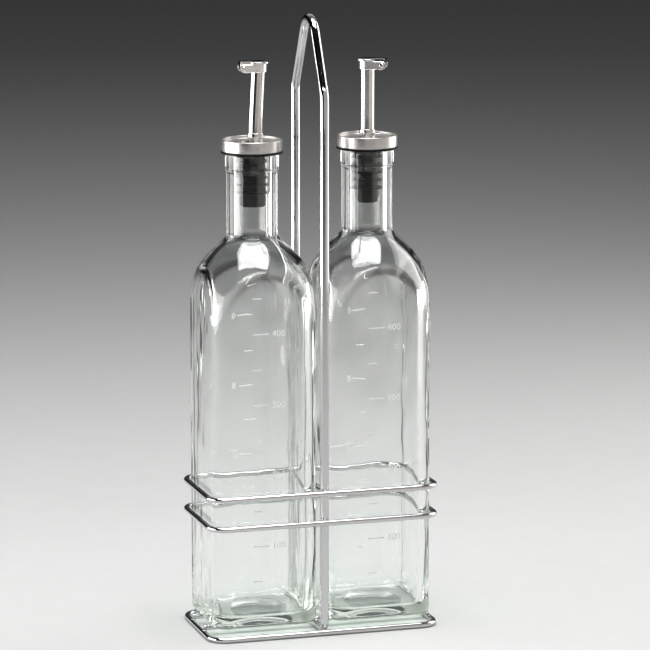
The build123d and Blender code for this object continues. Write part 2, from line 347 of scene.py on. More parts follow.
def weld_bead_tree():
    """A lumpy bead of its own size at each point."""
    tree = bpy.data.node_groups.new("Weld beads", "GeometryNodeTree")
    names = node_sockets(tree, [("Unevenness", "f"), ("Seed", "f"), ("Finish", "m")])
    given = add_node(tree, "NodeGroupInput").outputs
    drop = add_node(tree, "GeometryNodeMeshIcoSphere")
    drop.inputs["Radius"].default_value = 1.0
    drop.inputs["Subdivisions"].default_value = 4
    size = add_node(tree, "GeometryNodeInputNamedAttribute", data_type="FLOAT_VECTOR")
    size.inputs["Name"].default_value = "bead_size"
    beads = add_node(tree, "GeometryNodeInstanceOnPoints")
    real = add_node(tree, "GeometryNodeRealizeInstances")
    wire_up(
        tree,
        (given["Geometry"], beads.inputs["Points"]),
        (drop.outputs["Mesh"], beads.inputs["Instance"]),
        (size.outputs["Attribute"], beads.inputs["Scale"]),
        (beads.outputs[0], real.inputs[0]),
    )
    uneven_skin(tree, given, real.outputs[0], 900.0)
    return tree, names


weld_spots = []
for side in (-1, 1):
    ring_joint = side * (LEG_Y + ROD / 2 - 0.1 * MM)
    for ring_z in (LOWER_RING_Z, UPPER_RING_Z):
        weld_spots.append(((0, ring_joint, ring_z), (1.9, 0.7, 1.5)))
    weld_spots.append(((0, side * (LEG_Y - ROD / 2 + 0.1 * MM), UPPER_RING_Z), (2.1, 0.7, 1.9)))
    weld_spots.append(((0, side * CROSS_WIRE_Y, 3.9 * MM), (2.3, 1.9, 0.9)))
    for end in (-1, 1):
        weld_spots.append(((end * (LOOP_HALF_X - 0.4 * MM), side * CROSS_WIRE_Y, 3.0 * MM), (1.3, 1.7, 0.7)))
    weld_spots.append(((0, side * 29.0 * MM, 1.7 * MM), (1.5, 1.3, 0.9)))
beads = line_object("stand_weld_beads", [spot for spot, _ in weld_spots], False)
bead_sizes = beads.data.attributes.new("bead_size", "FLOAT_VECTOR", "POINT")
bead_sizes.data.foreach_set("vector", [s * MM for _, size in weld_spots for s in size])
bead_tree, bead_inputs = weld_bead_tree()
grow(beads, bead_tree, bead_inputs, Unevenness=BEAD_UNEVENNESS, Seed=3.0, Finish=chrome)
settle(beads, "stand", "chrome")


# ---- Glass bottles ---------------------------------------------------------------
# Soda-lime glass blown into a square mould: flat sides, an arched shoulder drawn into a
# round neck, a thicker ring at the mouth, a shallow hollow under the foot. The outside
# is as true as the mould, while the inside is left uneven by the blowing.
PITCH = 64.6 * MM
FOOT_Z = 6.15 * MM
HALF_SIDE, SIDE_CORNER, HEEL = 29.0, 8.0, 3.0
WALL, FLOOR = 3.4, 5.4
INNER_CORNER, INNER_HEEL, INNER_CROWN = 8.5, 3.0, 0.2
TALL, NECK_R, BORE_R = 255.0, 13.75, 9.25
SHOULDER_Z, ARCH_R, ARCH_CENTRE = 162.0, 57.3, -18.8
FINISH_R, FINISH_Z, FINISH_EDGE = 14.45, 246.0, 0.8
PUNT_R, PUNT_RISE = 17.0, 1.4
SIDE_STEPS, CORNER_STEPS, PUNT_STEPS = 26, 14, 9
NECK_BLEND, SIDE_BLEND, INNER_BLEND = 4.5, 1.3, 2.0
BLEND_FROM = 150  # height above which the sides run into the arch
BROAD_WAVE, FINE_WAVE, FLOOR_WAVE = 0.34, 0.1, 0.12
HEAVY_FOOT, HEAVY_REACH = 0.5, 30
FOOT_RING = 0.9  # height up to which the foot is stippled


def soft_min(a, b, width):
    """The lesser of two, eased where they come within a width of each other."""
    near = max(width - abs(a - b), 0) / width
    return min(a, b) - near * near * width / 4


def soft_max(a, b, width):
    return -soft_min(-a, -b, width)


def square_reach(bearing, half, corner):
    """From the middle to the edge of a square with round corners."""
    u, v = abs(math.cos(bearing)), abs(math.sin(bearing))
    flat = half - corner
    if half * v <= flat * u:
        return half / u
    if half * u <= flat * v:
        return half / v
    along = flat * (u + v)
    return along + math.sqrt(max(along * along - 2 * flat * flat + corner * corner, 0))


def outline_bearings(half, corner):
    """Bearings that share their points out along flat sides and round corners."""
    bearings = []
    flat = half - corner
    for quarter in range(4):
        turn = quarter * math.pi / 2
        for i in range(SIDE_STEPS):
            across = -flat + 2 * flat * i / SIDE_STEPS
            bearings.append(turn + math.atan2(across, half))
        for i in range(CORNER_STEPS):
            arc = math.pi / 2 * i / CORNER_STEPS
            x, y = flat + corner * math.cos(arc), flat + corner * math.sin(arc)
            bearings.append(turn + math.atan2(y, x))
    return bearings


def arch_reach(height, offset, neck):
    """Radius of the turned shoulder and neck at a height, set in by an offset."""
    rise = max(height - SHOULDER_Z, 0)
    radius = ARCH_R - offset
    arch = ARCH_CENTRE + math.sqrt(max(radius * radius - rise * rise, 0))
    return soft_max(arch, neck, NECK_BLEND + offset)


def foot_inset(height, edge):
    """How far the side draws in over the rounded heel."""
    short = max(edge - height, 0)
    return edge - math.sqrt(edge * edge - short * short)


def ripple(x, y, z, seed, size):
    """Smooth unevenness from -1 to 1, its humps about so many millimetres across."""
    return 2 * noise.noise(Vector((x / size + seed, y / size - seed, z / size / 1.7)))


def even_steps(start, end, count):
    return [start + (end - start) * i / count for i in range(count + 1)]


def skin(build, loops, closed=False, capped=False):
    """Faces from loop to loop, round to the first if closed, and over both ends if capped."""
    for low, high in zip(loops, loops[1:] + (loops[:1] if closed else [])):
        for i in range(len(low)):
            k = (i + 1) % len(low)
            build.faces.new((low[i], low[k], high[k], high[i]))
    if capped:
        build.faces.new(list(reversed(loops[0])))
        build.faces.new(loops[-1])


def bottle_mesh(name, middle_x, seed):
    """A closed shell: up the outside, over the mouth and down the inside."""
    bearings = outline_bearings(HALF_SIDE, SIDE_CORNER)
    rows = []
    cap = (PUNT_R**2 + PUNT_RISE**2) / (2 * PUNT_RISE)
    for i in range(PUNT_STEPS, 0, -1):
        reach = PUNT_R * i / PUNT_STEPS
        z = PUNT_RISE - cap + math.sqrt(cap * cap - reach * reach)
        rows.insert(0, [(reach, z)] * len(bearings))
    for part in (0.25, 0.6, 1.0):
        rows.append([
            (PUNT_R + (square_reach(b, HALF_SIDE - HEEL, SIDE_CORNER - HEEL) - PUNT_R) * part, 0)
            for b in bearings
        ])
    heights = [HEEL * (1 - math.cos(math.pi / 2 * i / 7)) for i in range(1, 8)]
    heights += even_steps(6, 150, 18) + even_steps(153, 158, 2)
    heights += even_steps(160, 218, 58) + even_steps(220, 244, 8)
    for z in heights:
        inset = foot_inset(z, HEEL)
        turned = arch_reach(z, 0, NECK_R)
        row = []
        for b in bearings:
            flat_way = square_reach(b, HALF_SIDE - inset, SIDE_CORNER - inset)
            row.append((soft_min(flat_way, turned, SIDE_BLEND) if z > BLEND_FROM else flat_way, z))
        rows.append(row)
    band = [(NECK_R, FINISH_Z - 0.5), (NECK_R + 0.15, FINISH_Z - 0.1)]
    for i in range(7):
        arc = math.pi / 2 * i / 6
        reach = FINISH_R - FINISH_EDGE * (1 - math.sin(arc))
        band.append((reach, FINISH_Z + FINISH_EDGE * (1 - math.cos(arc))))
    for i in range(7):
        arc = math.pi / 2 * i / 6
        reach = FINISH_R - FINISH_EDGE * (1 - math.cos(arc))
        band.append((reach, TALL - FINISH_EDGE * (1 - math.sin(arc))))
    band += [(BORE_R + 0.6, TALL), (BORE_R + 0.17, TALL - 0.17), (BORE_R, TALL - 0.6)]
    rows += [[pair] * len(bearings) for pair in band]

    inside = even_steps(253, 220, 11) + even_steps(217, 160, 57) + even_steps(157, 13, 36)
    inner_half = HALF_SIDE - WALL
    inside += [FLOOR + INNER_HEEL * (1 - math.cos(math.pi / 2 * i / 12)) for i in range(11, 0, -1)]
    for z in inside:
        inset = foot_inset(z - FLOOR, INNER_HEEL)
        turned = arch_reach(z, WALL, BORE_R)
        fade = min(max((218 - z) / 30, 0), 1)
        row = []
        for b in bearings:
            flat_way = square_reach(b, inner_half - inset, INNER_CORNER + 0.6 * inset)
            reach = soft_min(flat_way, turned, INNER_BLEND) if z > BLEND_FROM else flat_way
            x, y = reach * math.cos(b), reach * math.sin(b)
            heavy = max(1 - (z - FLOOR) / HEAVY_REACH, 0) ** 2 * HEAVY_FOOT
            waves = BROAD_WAVE * ripple(x, y, z, seed, 26) + FINE_WAVE * ripple(x, y, z, seed + 7, 9)
            thick = waves + heavy
            row.append((reach - fade * thick, z))
        rows.append(row)
    for part in (0.92, 0.8, 0.66, 0.52, 0.38, 0.24, 0.1):
        row = []
        for b in bearings:
            reach = square_reach(b, inner_half - INNER_HEEL, INNER_CORNER + 0.6 * INNER_HEEL) * part
            x, y = reach * math.cos(b), reach * math.sin(b)
            waves = FLOOR_WAVE * ripple(x, y, 0, seed + 3, 17)
            row.append((reach, FLOOR + waves + INNER_CROWN * (1 - part * part)))
        rows.append(row)

    mesh = bpy.data.meshes.new(name)
    build = bmesh.new()
    knurl = build.verts.layers.float.new("stipple")
    punt_shade_layer = build.verts.layers.float.new("punt_painted_shade")
    loops = []
    for row in rows:
        loop = []
        for (r, z), b in zip(row, bearings):
            vert = build.verts.new((middle_x + r * math.cos(b) * MM, r * math.sin(b) * MM, FOOT_Z + z * MM))
            vert[knurl] = 1.0 if z < FOOT_RING and r > PUNT_R + 0.2 else 0.0
            # Painted shade mask: 1 on the punt and 0.5 on the stippled foot ring, where a grey tint stands in
            # for the shadowed floor seen through the foot.
            vert[punt_shade_layer] = 1.0 if z < PUNT_RISE + 0.1 and r < PUNT_R + 0.3 else 0.5 * vert[knurl]
            loop.append(vert)
        loops.append(loop)
    count = len(bearings)
    skin(build, loops)
    under = build.verts.new((middle_x, 0, FOOT_Z + PUNT_RISE * MM))
    over = build.verts.new((middle_x, 0, FOOT_Z + (FLOOR + INNER_CROWN) * MM))
    for i in range(count):
        build.faces.new((under, loops[0][(i + 1) % count], loops[0][i]))
        build.faces.new((over, loops[-1][i], loops[-1][(i + 1) % count]))
    bmesh.ops.recalc_face_normals(build, faces=build.faces)
    for face in build.faces:
        face.smooth = True
    build.to_mesh(mesh)
    build.free()
    return mesh


def bottle_glass():
    """Clear soda-lime glass, faintly green through its edges, with a soft moulded ripple; the punt and, more
    lightly, the stippled foot ring are tinted grey as painted shade.
    """
    finish, tree, shader, place = new_finish("bottle_glass")
    broad = grain(tree, place, 60.0, 1.0)
    fine = grain(tree, place, 700.0, 2.0, stretch=(1, 1, 0.4))
    shader.inputs["Transmission Weight"].default_value = 1.0
    shader.inputs["IOR"].default_value = 1.5
    knurl = add_node(tree, "ShaderNodeAttribute", attribute_name="stipple")
    frost = add_node(tree, "ShaderNodeMath", operation="MULTIPLY_ADD")
    frost.inputs[1].default_value = 0.32
    # Painted shade: the base colour is multiplied towards grey on the punt and the stippled foot ring,
    # standing in for the darker floor seen through the foot.
    hollow = add_node(tree, "ShaderNodeAttribute", attribute_name="punt_painted_shade")
    painted_shade_tint = add_node(tree, "ShaderNodeMix", data_type="RGBA", blend_type="MULTIPLY")
    painted_shade_tint.inputs["B"].default_value = (0.30, 0.33, 0.31, 1)
    wire_up(
        tree,
        (tint(tree, broad, (0.965, 0.985, 0.975), (1.0, 1.0, 1.0)), painted_shade_tint.inputs["A"]),
        (hollow.outputs["Fac"], painted_shade_tint.inputs["Factor"]),
        (painted_shade_tint.outputs["Result"], shader.inputs["Base Color"]),
        (knurl.outputs["Fac"], frost.inputs[0]),
        (spread(tree, broad, 0.0, 0.012), frost.inputs[2]),
        (frost.outputs[0], shader.inputs["Roughness"]),
    )
    dents(tree, shader, (broad, 0.06 * MM), (fine, 0.0012 * MM))
    through = add_node(tree, "ShaderNodeBsdfTransparent")
    through.inputs["Color"].default_value = (0.93, 0.96, 0.94, 1)
    path = add_node(tree, "ShaderNodeLightPath")
    mix = add_node(tree, "ShaderNodeMixShader")
    depth = add_node(tree, "ShaderNodeVolumeAbsorption")
    depth.inputs["Color"].default_value = (0.80, 0.88, 0.78, 1)
    depth.inputs["Density"].default_value = 9.0
    result = tree.nodes["Material Output"]
    wire_up(
        tree,
        (path.outputs["Is Shadow Ray"], mix.inputs[0]),
        (shader.outputs[0], mix.inputs[1]),
        (through.outputs[0], mix.inputs[2]),
        (mix.outputs[0], result.inputs["Surface"]),
        (depth.outputs[0], result.inputs["Volume"]),
    )
    return finish


glass = bottle_glass()
SIDES = {"left": -PITCH / 2, "right": PITCH / 2}
for side, middle_x in SIDES.items():
    mesh = bottle_mesh(side + "_glass", middle_x, 2.3 if side == "left" else 9.1)
    mesh.materials.append(glass)
    settle(new_object(side + "_glass", mesh), side + "_bottle", "glass", "bottle_" + side)


# ---- Printed filling marks -------------------------------------------------------
# Off-white ceramic ink fired on to the front and back of each bottle: a plain measuring
# scale, a short line at every 50 ml and a long one with its figure at every 100 ml.
INK = 0.05
INK_GAP = 0.015
MARK_BASE, MARK_PER_ML = 6.95, 1 / 2.588
FIRST_MARK, LAST_MARK, MARK_STEP, FIGURE_STEP = 50, 450, 50, 100
SCALE_START, SHORT_MARK, LONG_MARK, MARK_LINE = -8.0, 5.0, 9.0, 0.6
FIGURE, FIGURE_GAP = 5.0, 1.6


def mark_height(millilitres):
    """Height above the foot of the surface that so much oil reaches."""
    return MARK_BASE + millilitres * MARK_PER_ML


def on_glass(across, up, raised, turn, middle_x):
    """A point of the scale laid on a flat side of the bottle."""
    y = -(HALF_SIDE + raised)
    c, s = math.cos(turn), math.sin(turn)
    return Vector((middle_x + (across * c - y * s) * MM, (across * s + y * c) * MM, FOOT_Z + up * MM))


def printed_line(build, start, end, up):
    low, high = up - MARK_LINE / 2, up + MARK_LINE / 2
    corners = [(start, low), (end, low), (end, high), (start, high)]
    build.faces.new([build.verts.new((x, y, 0)) for x, y in corners])


def printed_figure(build, amount, x, y):
    """Numerals from a plain font, beginning at x and centred on y."""
    words = bpy.data.curves.new("figure", "FONT")
    words.body = str(amount)
    words.size = FIGURE
    words.align_y = "CENTER"
    words.resolution_u = 3
    thing = bpy.data.objects.new("figure", words)
    bpy.context.scene.collection.objects.link(thing)
    bpy.context.view_layer.update()
    mesh = bpy.data.meshes.new_from_object(thing)
    mesh.transform(Matrix.Translation((x, y, 0)))
    build.from_mesh(mesh)
    bpy.data.objects.remove(thing)
    bpy.data.meshes.remove(mesh)


def measuring_scale():
    """The print of one side as flat faces, in millimetres across and up."""
    build = bmesh.new()
    for amount in range(FIRST_MARK, LAST_MARK + 1, MARK_STEP):
        figured = amount % FIGURE_STEP == 0
        end = SCALE_START + (LONG_MARK if figured else SHORT_MARK)
        printed_line(build, SCALE_START, end, mark_height(amount))
        if figured:
            printed_figure(build, amount, end + FIGURE_GAP, mark_height(amount))
    bmesh.ops.remove_doubles(build, verts=build.verts, dist=0.001)
    bmesh.ops.triangulate(build, faces=build.faces)
    outcome = [v.co.copy() for v in build.verts], [[v.index for v in f.verts] for f in build.faces]
    build.free()
    return outcome


def print_ink():
    """Fired white ink, thin enough to be a little patchy."""
    finish, tree, shader, place = new_finish("print_ink")
    patchy = grain(tree, place, 1500.0, 4.0)
    wire_up(
        tree,
        (tint(tree, patchy, (0.58, 0.60, 0.59), (0.80, 0.82, 0.81)), shader.inputs["Base Color"]),
        (spread(tree, patchy, 0.45, 0.65), shader.inputs["Roughness"]),
    )
    dents(tree, shader, (patchy, 0.01 * MM))
    return finish


ink = print_ink()
scale_verts, scale_faces = measuring_scale()
for side, middle_x in SIDES.items():
    build = bmesh.new()
    for turn in (0, math.pi):
        laid = [build.verts.new(on_glass(v.x, v.y, INK_GAP, turn, middle_x)) for v in scale_verts]
        raised = [build.verts.new(on_glass(v.x, v.y, INK_GAP + INK, turn, middle_x)) for v in scale_verts]
        rim = {}
        for face in scale_faces:
            build.faces.new([raised[i] for i in face])
            build.faces.new([laid[i] for i in reversed(face)])
            for a, b in zip(face, face[1:] + face[:1]):
                rim[(a, b)] = rim.get((b, a), 0) + 1
        for a, b in [pair for pair in rim if (pair[1], pair[0]) not in rim]:
            build.faces.new((laid[a], laid[b], raised[b], raised[a]))
    bmesh.ops.recalc_face_normals(build, faces=build.faces)
    mesh = bpy.data.meshes.new(side + "_filling_marks")
    build.to_mesh(mesh)
    build.free()
    mesh.materials.append(ink)
    settle(new_object(side + "_filling_marks", mesh), side + "_bottle", "print")


# ---- Rubber stoppers -------------------------------------------------------------
# Black moulded rubber pushed into the neck: a rim that sits on the mouth, a core round
# the spout and the air passage, and five thin fins that seal against the bore.
FLANGE_Z, COLLAR_Z, DECK_Z = 261.2, 262.3, 267.1
FLANGE_R, PLUG_Z = 16.7, 232.4
BOSS_R, BOSS_TOP = 15.4, 266.3
NEAR_AXIS = 0.01  # where a solid profile stops short of its axis
SPOUT_OFFSET, CORE_R = 1.9, 5.5
VENT_OFFSET, VENT_CORE_R = 4.7, 2.2
FIN_R, FIN_THICK, FIN_FIRST, FIN_PITCH, FIN_COUNT = 9.15, 0.9, 4.6, 4.2, 5
BEARINGS = {"left": (-5.0, 175.0), "right": (-105.0, -25.0)}


def soften(profile, radius, closed=True, steps=4):
    """Rounds the corners of a flat outline, each by no more than its sides allow."""
    count = len(profile)
    out = []
    for i, point in enumerate(profile):
        p, a, b = Vector(point), Vector(profile[i - 1]), Vector(profile[(i + 1) % count])
        if not closed and i in (0, count - 1):
            out.append(tuple(p))
            continue
        back, ahead = a - p, b - p
        cut = min(radius, back.length * 0.45, ahead.length * 0.45)
        start, end = p + back.normalized() * cut, p + ahead.normalized() * cut
        for k in range(steps + 1):
            t = k / steps
            out.append(tuple(start.lerp(p, t).lerp(p.lerp(end, t), t)))
    return out


def turned(name, profile, place, centre=(0, 0), segments=72, solid=False):
    """A profile of (radius, height) turned about an upright axis, closed on itself or,
    if solid, closed by a point on the axis at each end."""
    build = bmesh.new()
    rings = []
    for r, z in profile:
        rings.append([
            build.verts.new((
                centre[0] + r * math.cos(math.tau * i / segments),
                centre[1] + r * math.sin(math.tau * i / segments),
                z,
            ))
            for i in range(segments)
        ])
    skin(build, rings, closed=not solid)
    if solid:
        for ring, z in ((rings[0], profile[0][1]), (rings[-1], profile[-1][1])):
            tip = build.verts.new((centre[0], centre[1], z))
            for i in range(segments):
                build.faces.new((tip, ring[i], ring[(i + 1) % segments]))
    return close_mesh(name, build, place)


def close_mesh(name, build, place, sharp=35.0):
    """Turns millimetres into metres in place, points faces out and keeps crisp edges."""
    bmesh.ops.remove_doubles(build, verts=build.verts, dist=0.0005)
    bmesh.ops.recalc_face_normals(build, faces=build.faces)
    for face in build.faces:
        face.smooth = True
    mesh = bpy.data.meshes.new(name)
    build.to_mesh(mesh)
    build.free()
    mesh.transform(place @ Matrix.Scale(MM, 4))
    mesh.set_sharp_from_angle(angle=math.radians(sharp))
    return mesh


def stand_at(side):
    """The place of a stopper: on its bottle's axis, turned so that its spout leads."""
    return Matrix.Translation((SIDES[side], 0, 0)) @ Matrix.Rotation(math.radians(BEARINGS[side][0]), 4, "Z")


def join_meshes(name, meshes):
    """Several meshes as one piece."""
    build = bmesh.new()
    for mesh in meshes:
        build.from_mesh(mesh)
    joined = bpy.data.meshes.new(name)
    build.to_mesh(joined)
    build.free()
    for mesh in meshes:
        bpy.data.meshes.remove(mesh)
    return joined


def black_rubber():
    """Dense black rubber with a satin skin, dusty where it has rubbed."""
    finish, tree, shader, place = new_finish("black_rubber")
    patch = grain(tree, place, 260.0, 4.0)
    fine = grain(tree, place, 5200.0, 2.0)
    shader.inputs["Specular IOR Level"].default_value = 0.1
    wire_up(
        tree,
        (tint(tree, patch, (0.0015, 0.0015, 0.0015), (0.005, 0.005, 0.005)), shader.inputs["Base Color"]),
        (spread(tree, patch, 0.34, 0.5), shader.inputs["Roughness"]),
    )
    dents(tree, shader, (fine, 0.004 * MM))
    return finish


def fin_tree():
    """One fin repeated down the plug."""
    tree = bpy.data.node_groups.new("Sealing fins", "GeometryNodeTree")
    names = node_sockets(tree, [("Count", "i"), ("Pitch", "f"), ("Finish", "m")])
    given = add_node(tree, "NodeGroupInput").outputs
    drop = add_node(tree, "ShaderNodeMath", operation="MULTIPLY")
    drop.inputs[1].default_value = -1.0
    down = add_node(tree, "ShaderNodeCombineXYZ")
    row = add_node(tree, "GeometryNodeMeshLine")
    repeat = add_node(tree, "GeometryNodeInstanceOnPoints")
    real = add_node(tree, "GeometryNodeRealizeInstances")
    coat = add_node(tree, "GeometryNodeSetMaterial")
    result = add_node(tree, "NodeGroupOutput")
    wire_up(
        tree,
        (given["Pitch"], drop.inputs[0]),
        (drop.outputs[0], down.inputs["Z"]),
        (given["Count"], row.inputs["Count"]),
        (down.outputs[0], row.inputs["Offset"]),
        (row.outputs["Mesh"], repeat.inputs["Points"]),
        (given["Geometry"], repeat.inputs["Instance"]),
        (repeat.outputs[0], real.inputs[0]),
        (real.outputs[0], coat.inputs["Geometry"]),
        (given["Finish"], coat.inputs["Material"]),
        (coat.outputs[0], result.inputs[0]),
    )
    return tree, names


def plug_core(place):
    """The core: an egg-shaped post round both passages, chamfered at its lower end."""
    build = bmesh.new()
    reach = -VENT_OFFSET - VENT_CORE_R
    outline = []
    for i in range(64):
        a = math.tau * i / 64
        x, y = SPOUT_OFFSET + CORE_R * math.cos(a), CORE_R * math.sin(a)
        lean = max(-(x - SPOUT_OFFSET) / CORE_R, 0) ** 4
        outline.append((x + (reach - (SPOUT_OFFSET - CORE_R)) * lean, y))
    rings = []
    for z, scale in ((PLUG_Z, 0.86), (PLUG_Z + 0.35, 0.95), (PLUG_Z + 0.8, 1.0), (FLANGE_Z + 0.2, 1.0)):
        rings.append([build.verts.new(((x - 0.4) * scale + 0.4, y * scale, z)) for x, y in outline])
    skin(build, rings, capped=True)
    return close_mesh("core", build, place)


rubber = black_rubber()
fins_tree, fins_inputs = fin_tree()
for side in SIDES:
    place = stand_at(side)
    rim_profile = [
        (NEAR_AXIS, FLANGE_Z), (FLANGE_R, FLANGE_Z), (FLANGE_R, COLLAR_Z),
        (BOSS_R, COLLAR_Z), (BOSS_R, BOSS_TOP), (NEAR_AXIS, BOSS_TOP),
    ]
    rim_profile = soften(rim_profile, 0.35, closed=False)
    parts = [turned("rim", rim_profile, place, segments=96, solid=True), plug_core(place)]
    post = new_object(side + "_stopper", join_meshes(side + "_stopper", parts))
    post.data.materials.append(rubber)
    settle(post, side + "_pourer", "rubber", "stopper_" + side)
    low = FLANGE_Z - FIN_FIRST
    fin_profile = soften([(3.0, low), (FIN_R, low + 0.28), (FIN_R, low + 0.62), (3.0, low + FIN_THICK)], 0.2)
    fins = new_object(side + "_fins", turned("fin", fin_profile, place, segments=80))
    grow(fins, fins_tree, fins_inputs, Count=FIN_COUNT, Pitch=FIN_PITCH * MM, Finish=rubber)
    settle(fins, side + "_pourer", "rubber")


# ---- Steel collars ---------------------------------------------------------------
# A shallow cap pressed from stainless sheet over the rubber, its rim rolled up round a
# sunk top; turned with fine abrasive, so its marks run round it.
COLLAR_R, COLLAR_TOP = 16.3, 268.6
RIM_WIDTH, SHEET = 1.1, 0.7
VENT_LIP_R, VENT_R = 1.4, 0.9
SKIRT_R = 15.45


def turned_steel(side):
    """Satin stainless: marks that run round the collar, seen as fine level lines."""
    finish, tree, shader, place = new_finish("turned_steel_" + side)
    centre = (SIDES[side], 0, COLLAR_Z * MM)
    mapping = add_node(tree, "ShaderNodeMapping")
    mapping.inputs["Location"].default_value = [-c for c in centre]
    parts = add_node(tree, "ShaderNodeSeparateXYZ")
    flat = add_node(tree, "ShaderNodeCombineXYZ")
    reach = add_node(tree, "ShaderNodeVectorMath", operation="LENGTH")
    turn = add_node(tree, "ShaderNodeMath", operation="ARCTAN2")
    slow = add_node(tree, "ShaderNodeMath", operation="MULTIPLY")
    slow.inputs[1].default_value = 0.0006
    lines = add_node(tree, "ShaderNodeCombineXYZ")
    marks = add_node(tree, "ShaderNodeTexNoise")
    marks.inputs["Scale"].default_value = 6500.0
    marks.inputs["Detail"].default_value = 3.0
    shader.inputs["Metallic"].default_value = 1.0
    wire_up(
        tree,
        (place, mapping.inputs["Vector"]),
        (mapping.outputs[0], parts.inputs[0]),
        (parts.outputs["X"], flat.inputs["X"]),
        (parts.outputs["Y"], flat.inputs["Y"]),
        (flat.outputs[0], reach.inputs[0]),
        (parts.outputs["Y"], turn.inputs[0]),
        (parts.outputs["X"], turn.inputs[1]),
        (turn.outputs[0], slow.inputs[0]),
        (reach.outputs["Value"], lines.inputs["X"]),
        (slow.outputs[0], lines.inputs["Y"]),
        (parts.outputs["Z"], lines.inputs["Z"]),
        (lines.outputs[0], marks.inputs["Vector"]),
    )
    cloud = grain(tree, place, 140.0)
    wire_up(
        tree,
        (tint(tree, cloud, (0.52, 0.505, 0.49), (0.58, 0.565, 0.55)), shader.inputs["Base Color"]),
        (spread(tree, marks.outputs["Fac"], 0.25, 0.38), shader.inputs["Roughness"]),
    )
    dents(tree, shader, (marks.outputs["Fac"], 0.006 * MM))
    return finish


for side in SIDES:
    place = stand_at(side)
    rim_in = COLLAR_R - RIM_WIDTH
    cap = [
        (SKIRT_R, COLLAR_Z + 0.02), (COLLAR_R, COLLAR_Z + 0.02), (COLLAR_R, COLLAR_TOP), (rim_in, COLLAR_TOP),
        (rim_in, DECK_Z), (4.0, DECK_Z), (4.0, DECK_Z - SHEET), (SKIRT_R, DECK_Z - SHEET),
    ]
    cap = soften(cap, 0.38)
    low, high = DECK_Z - 0.3, DECK_Z + 0.5
    lip = [(VENT_R, low), (VENT_LIP_R, low), (VENT_LIP_R, high), (VENT_R, high)]
    parts = [
        turned("cap", cap, place, segments=128),
        turned("lip", soften(lip, 0.2), place, centre=(-VENT_OFFSET, 0), segments=32),
    ]
    cap_piece = new_object(side + "_collar", join_meshes(side + "_collar", parts))
    cap_piece.data.materials.append(turned_steel(side))
    settle(cap_piece, side + "_pourer", "steel", "collar_" + side)


# ---- Spout tubes and ferrules ----------------------------------------------------
# Thin stainless tube, polished, pushed down through the stopper and set to a slight
# lean; a plain ring is pressed round its foot on the collar.
TUBE_R, TUBE_BORE_R = 3.8, 3.3
SPOUT_Z, KNEE_Z, LEAN = 308.95, 275.9, math.radians(3.0)
FERRULE_R, FERRULE_HEIGHT = 4.3, 4.8


def polished_steel():
    """Polished stainless, a little warmer and softer than the chrome."""
    finish, tree, shader, place = new_finish("polished_steel")
    haze = grain(tree, place, 120.0)
    scratch = grain(tree, place, 2200.0, 3.0, stretch=(1, 1, 0.06))
    shader.inputs["Metallic"].default_value = 1.0
    wire_up(
        tree,
        (tint(tree, haze, (0.58, 0.565, 0.55), (0.66, 0.645, 0.63)), shader.inputs["Base Color"]),
        (spread(tree, scratch, 0.08, 0.16), shader.inputs["Roughness"]),
    )
    dents(tree, shader, (haze, 0.03 * MM), (scratch, 0.0015 * MM))
    return finish


def spout_line(z):
    """How far out the middle of the spout is at a height, easing over into its lean."""
    over = z - KNEE_Z
    ease = 4.0
    if over <= -ease:
        return SPOUT_OFFSET
    if over >= ease:
        return SPOUT_OFFSET + over * math.tan(LEAN)
    return SPOUT_OFFSET + math.tan(LEAN) * (over + ease) ** 2 / (4 * ease)


def tube_mesh(place, segments=56):
    """The tube's wall: up the outside and down the bore, with a rounded mouth."""
    heights = even_steps(PLUG_Z, 270, 6) + even_steps(271, 281, 10) + even_steps(284, SPOUT_Z - 0.3, 8)
    wall = [(TUBE_R, z) for z in heights]
    wall += [(TUBE_R - 0.08, SPOUT_Z - 0.08), (TUBE_R - 0.25, SPOUT_Z), (TUBE_BORE_R + 0.08, SPOUT_Z - 0.08)]
    wall += [(TUBE_BORE_R, z) for z in reversed(heights)]
    build = bmesh.new()
    rings = []
    for r, z in wall:
        middle = spout_line(z)
        rings.append([
            build.verts.new((
                middle + r * math.cos(math.tau * i / segments), r * math.sin(math.tau * i / segments), z,
            ))
            for i in range(segments)
        ])
    skin(build, rings, closed=True)
    return close_mesh("tube", build, place)


steel = polished_steel()
for side in SIDES:
    place = stand_at(side)
    tube = new_object(side + "_spout_tube", tube_mesh(place))
    tube.data.materials.append(steel)
    settle(tube, side + "_pourer", "polished_steel", "spout_tube_" + side)
    top = DECK_Z + FERRULE_HEIGHT
    ring = [(TUBE_R, DECK_Z), (FERRULE_R, DECK_Z), (FERRULE_R, top), (TUBE_R, top)]
    ferrule = new_object(
        side + "_spout_ferrule",
        turned(side + "_ferrule", soften(ring, 0.3), place, centre=(SPOUT_OFFSET, 0), segments=56),
    )
    ferrule.data.materials.append(steel)
    settle(ferrule, side + "_pourer", "polished_steel", "spout_ferrule_" + side)


# ---- Hinge clips and pins --------------------------------------------------------
# A strip of stainless bent round the top of the spout and spot welded, its two ends
# running back as ears; a rivet through both ears carries the lid.
CLIP_HEIGHT, CLIP_WALL = 4.35, 0.7
HINGE_REACH, PIN_Z = 8.2, 306.775
PIN_R, PIN_HEAD_R, PIN_HEAD = 0.8, 1.3, 0.4
EAR_Y = TUBE_R + CLIP_WALL
EAR_TIP = 0.15  # half the ear's height at its very end


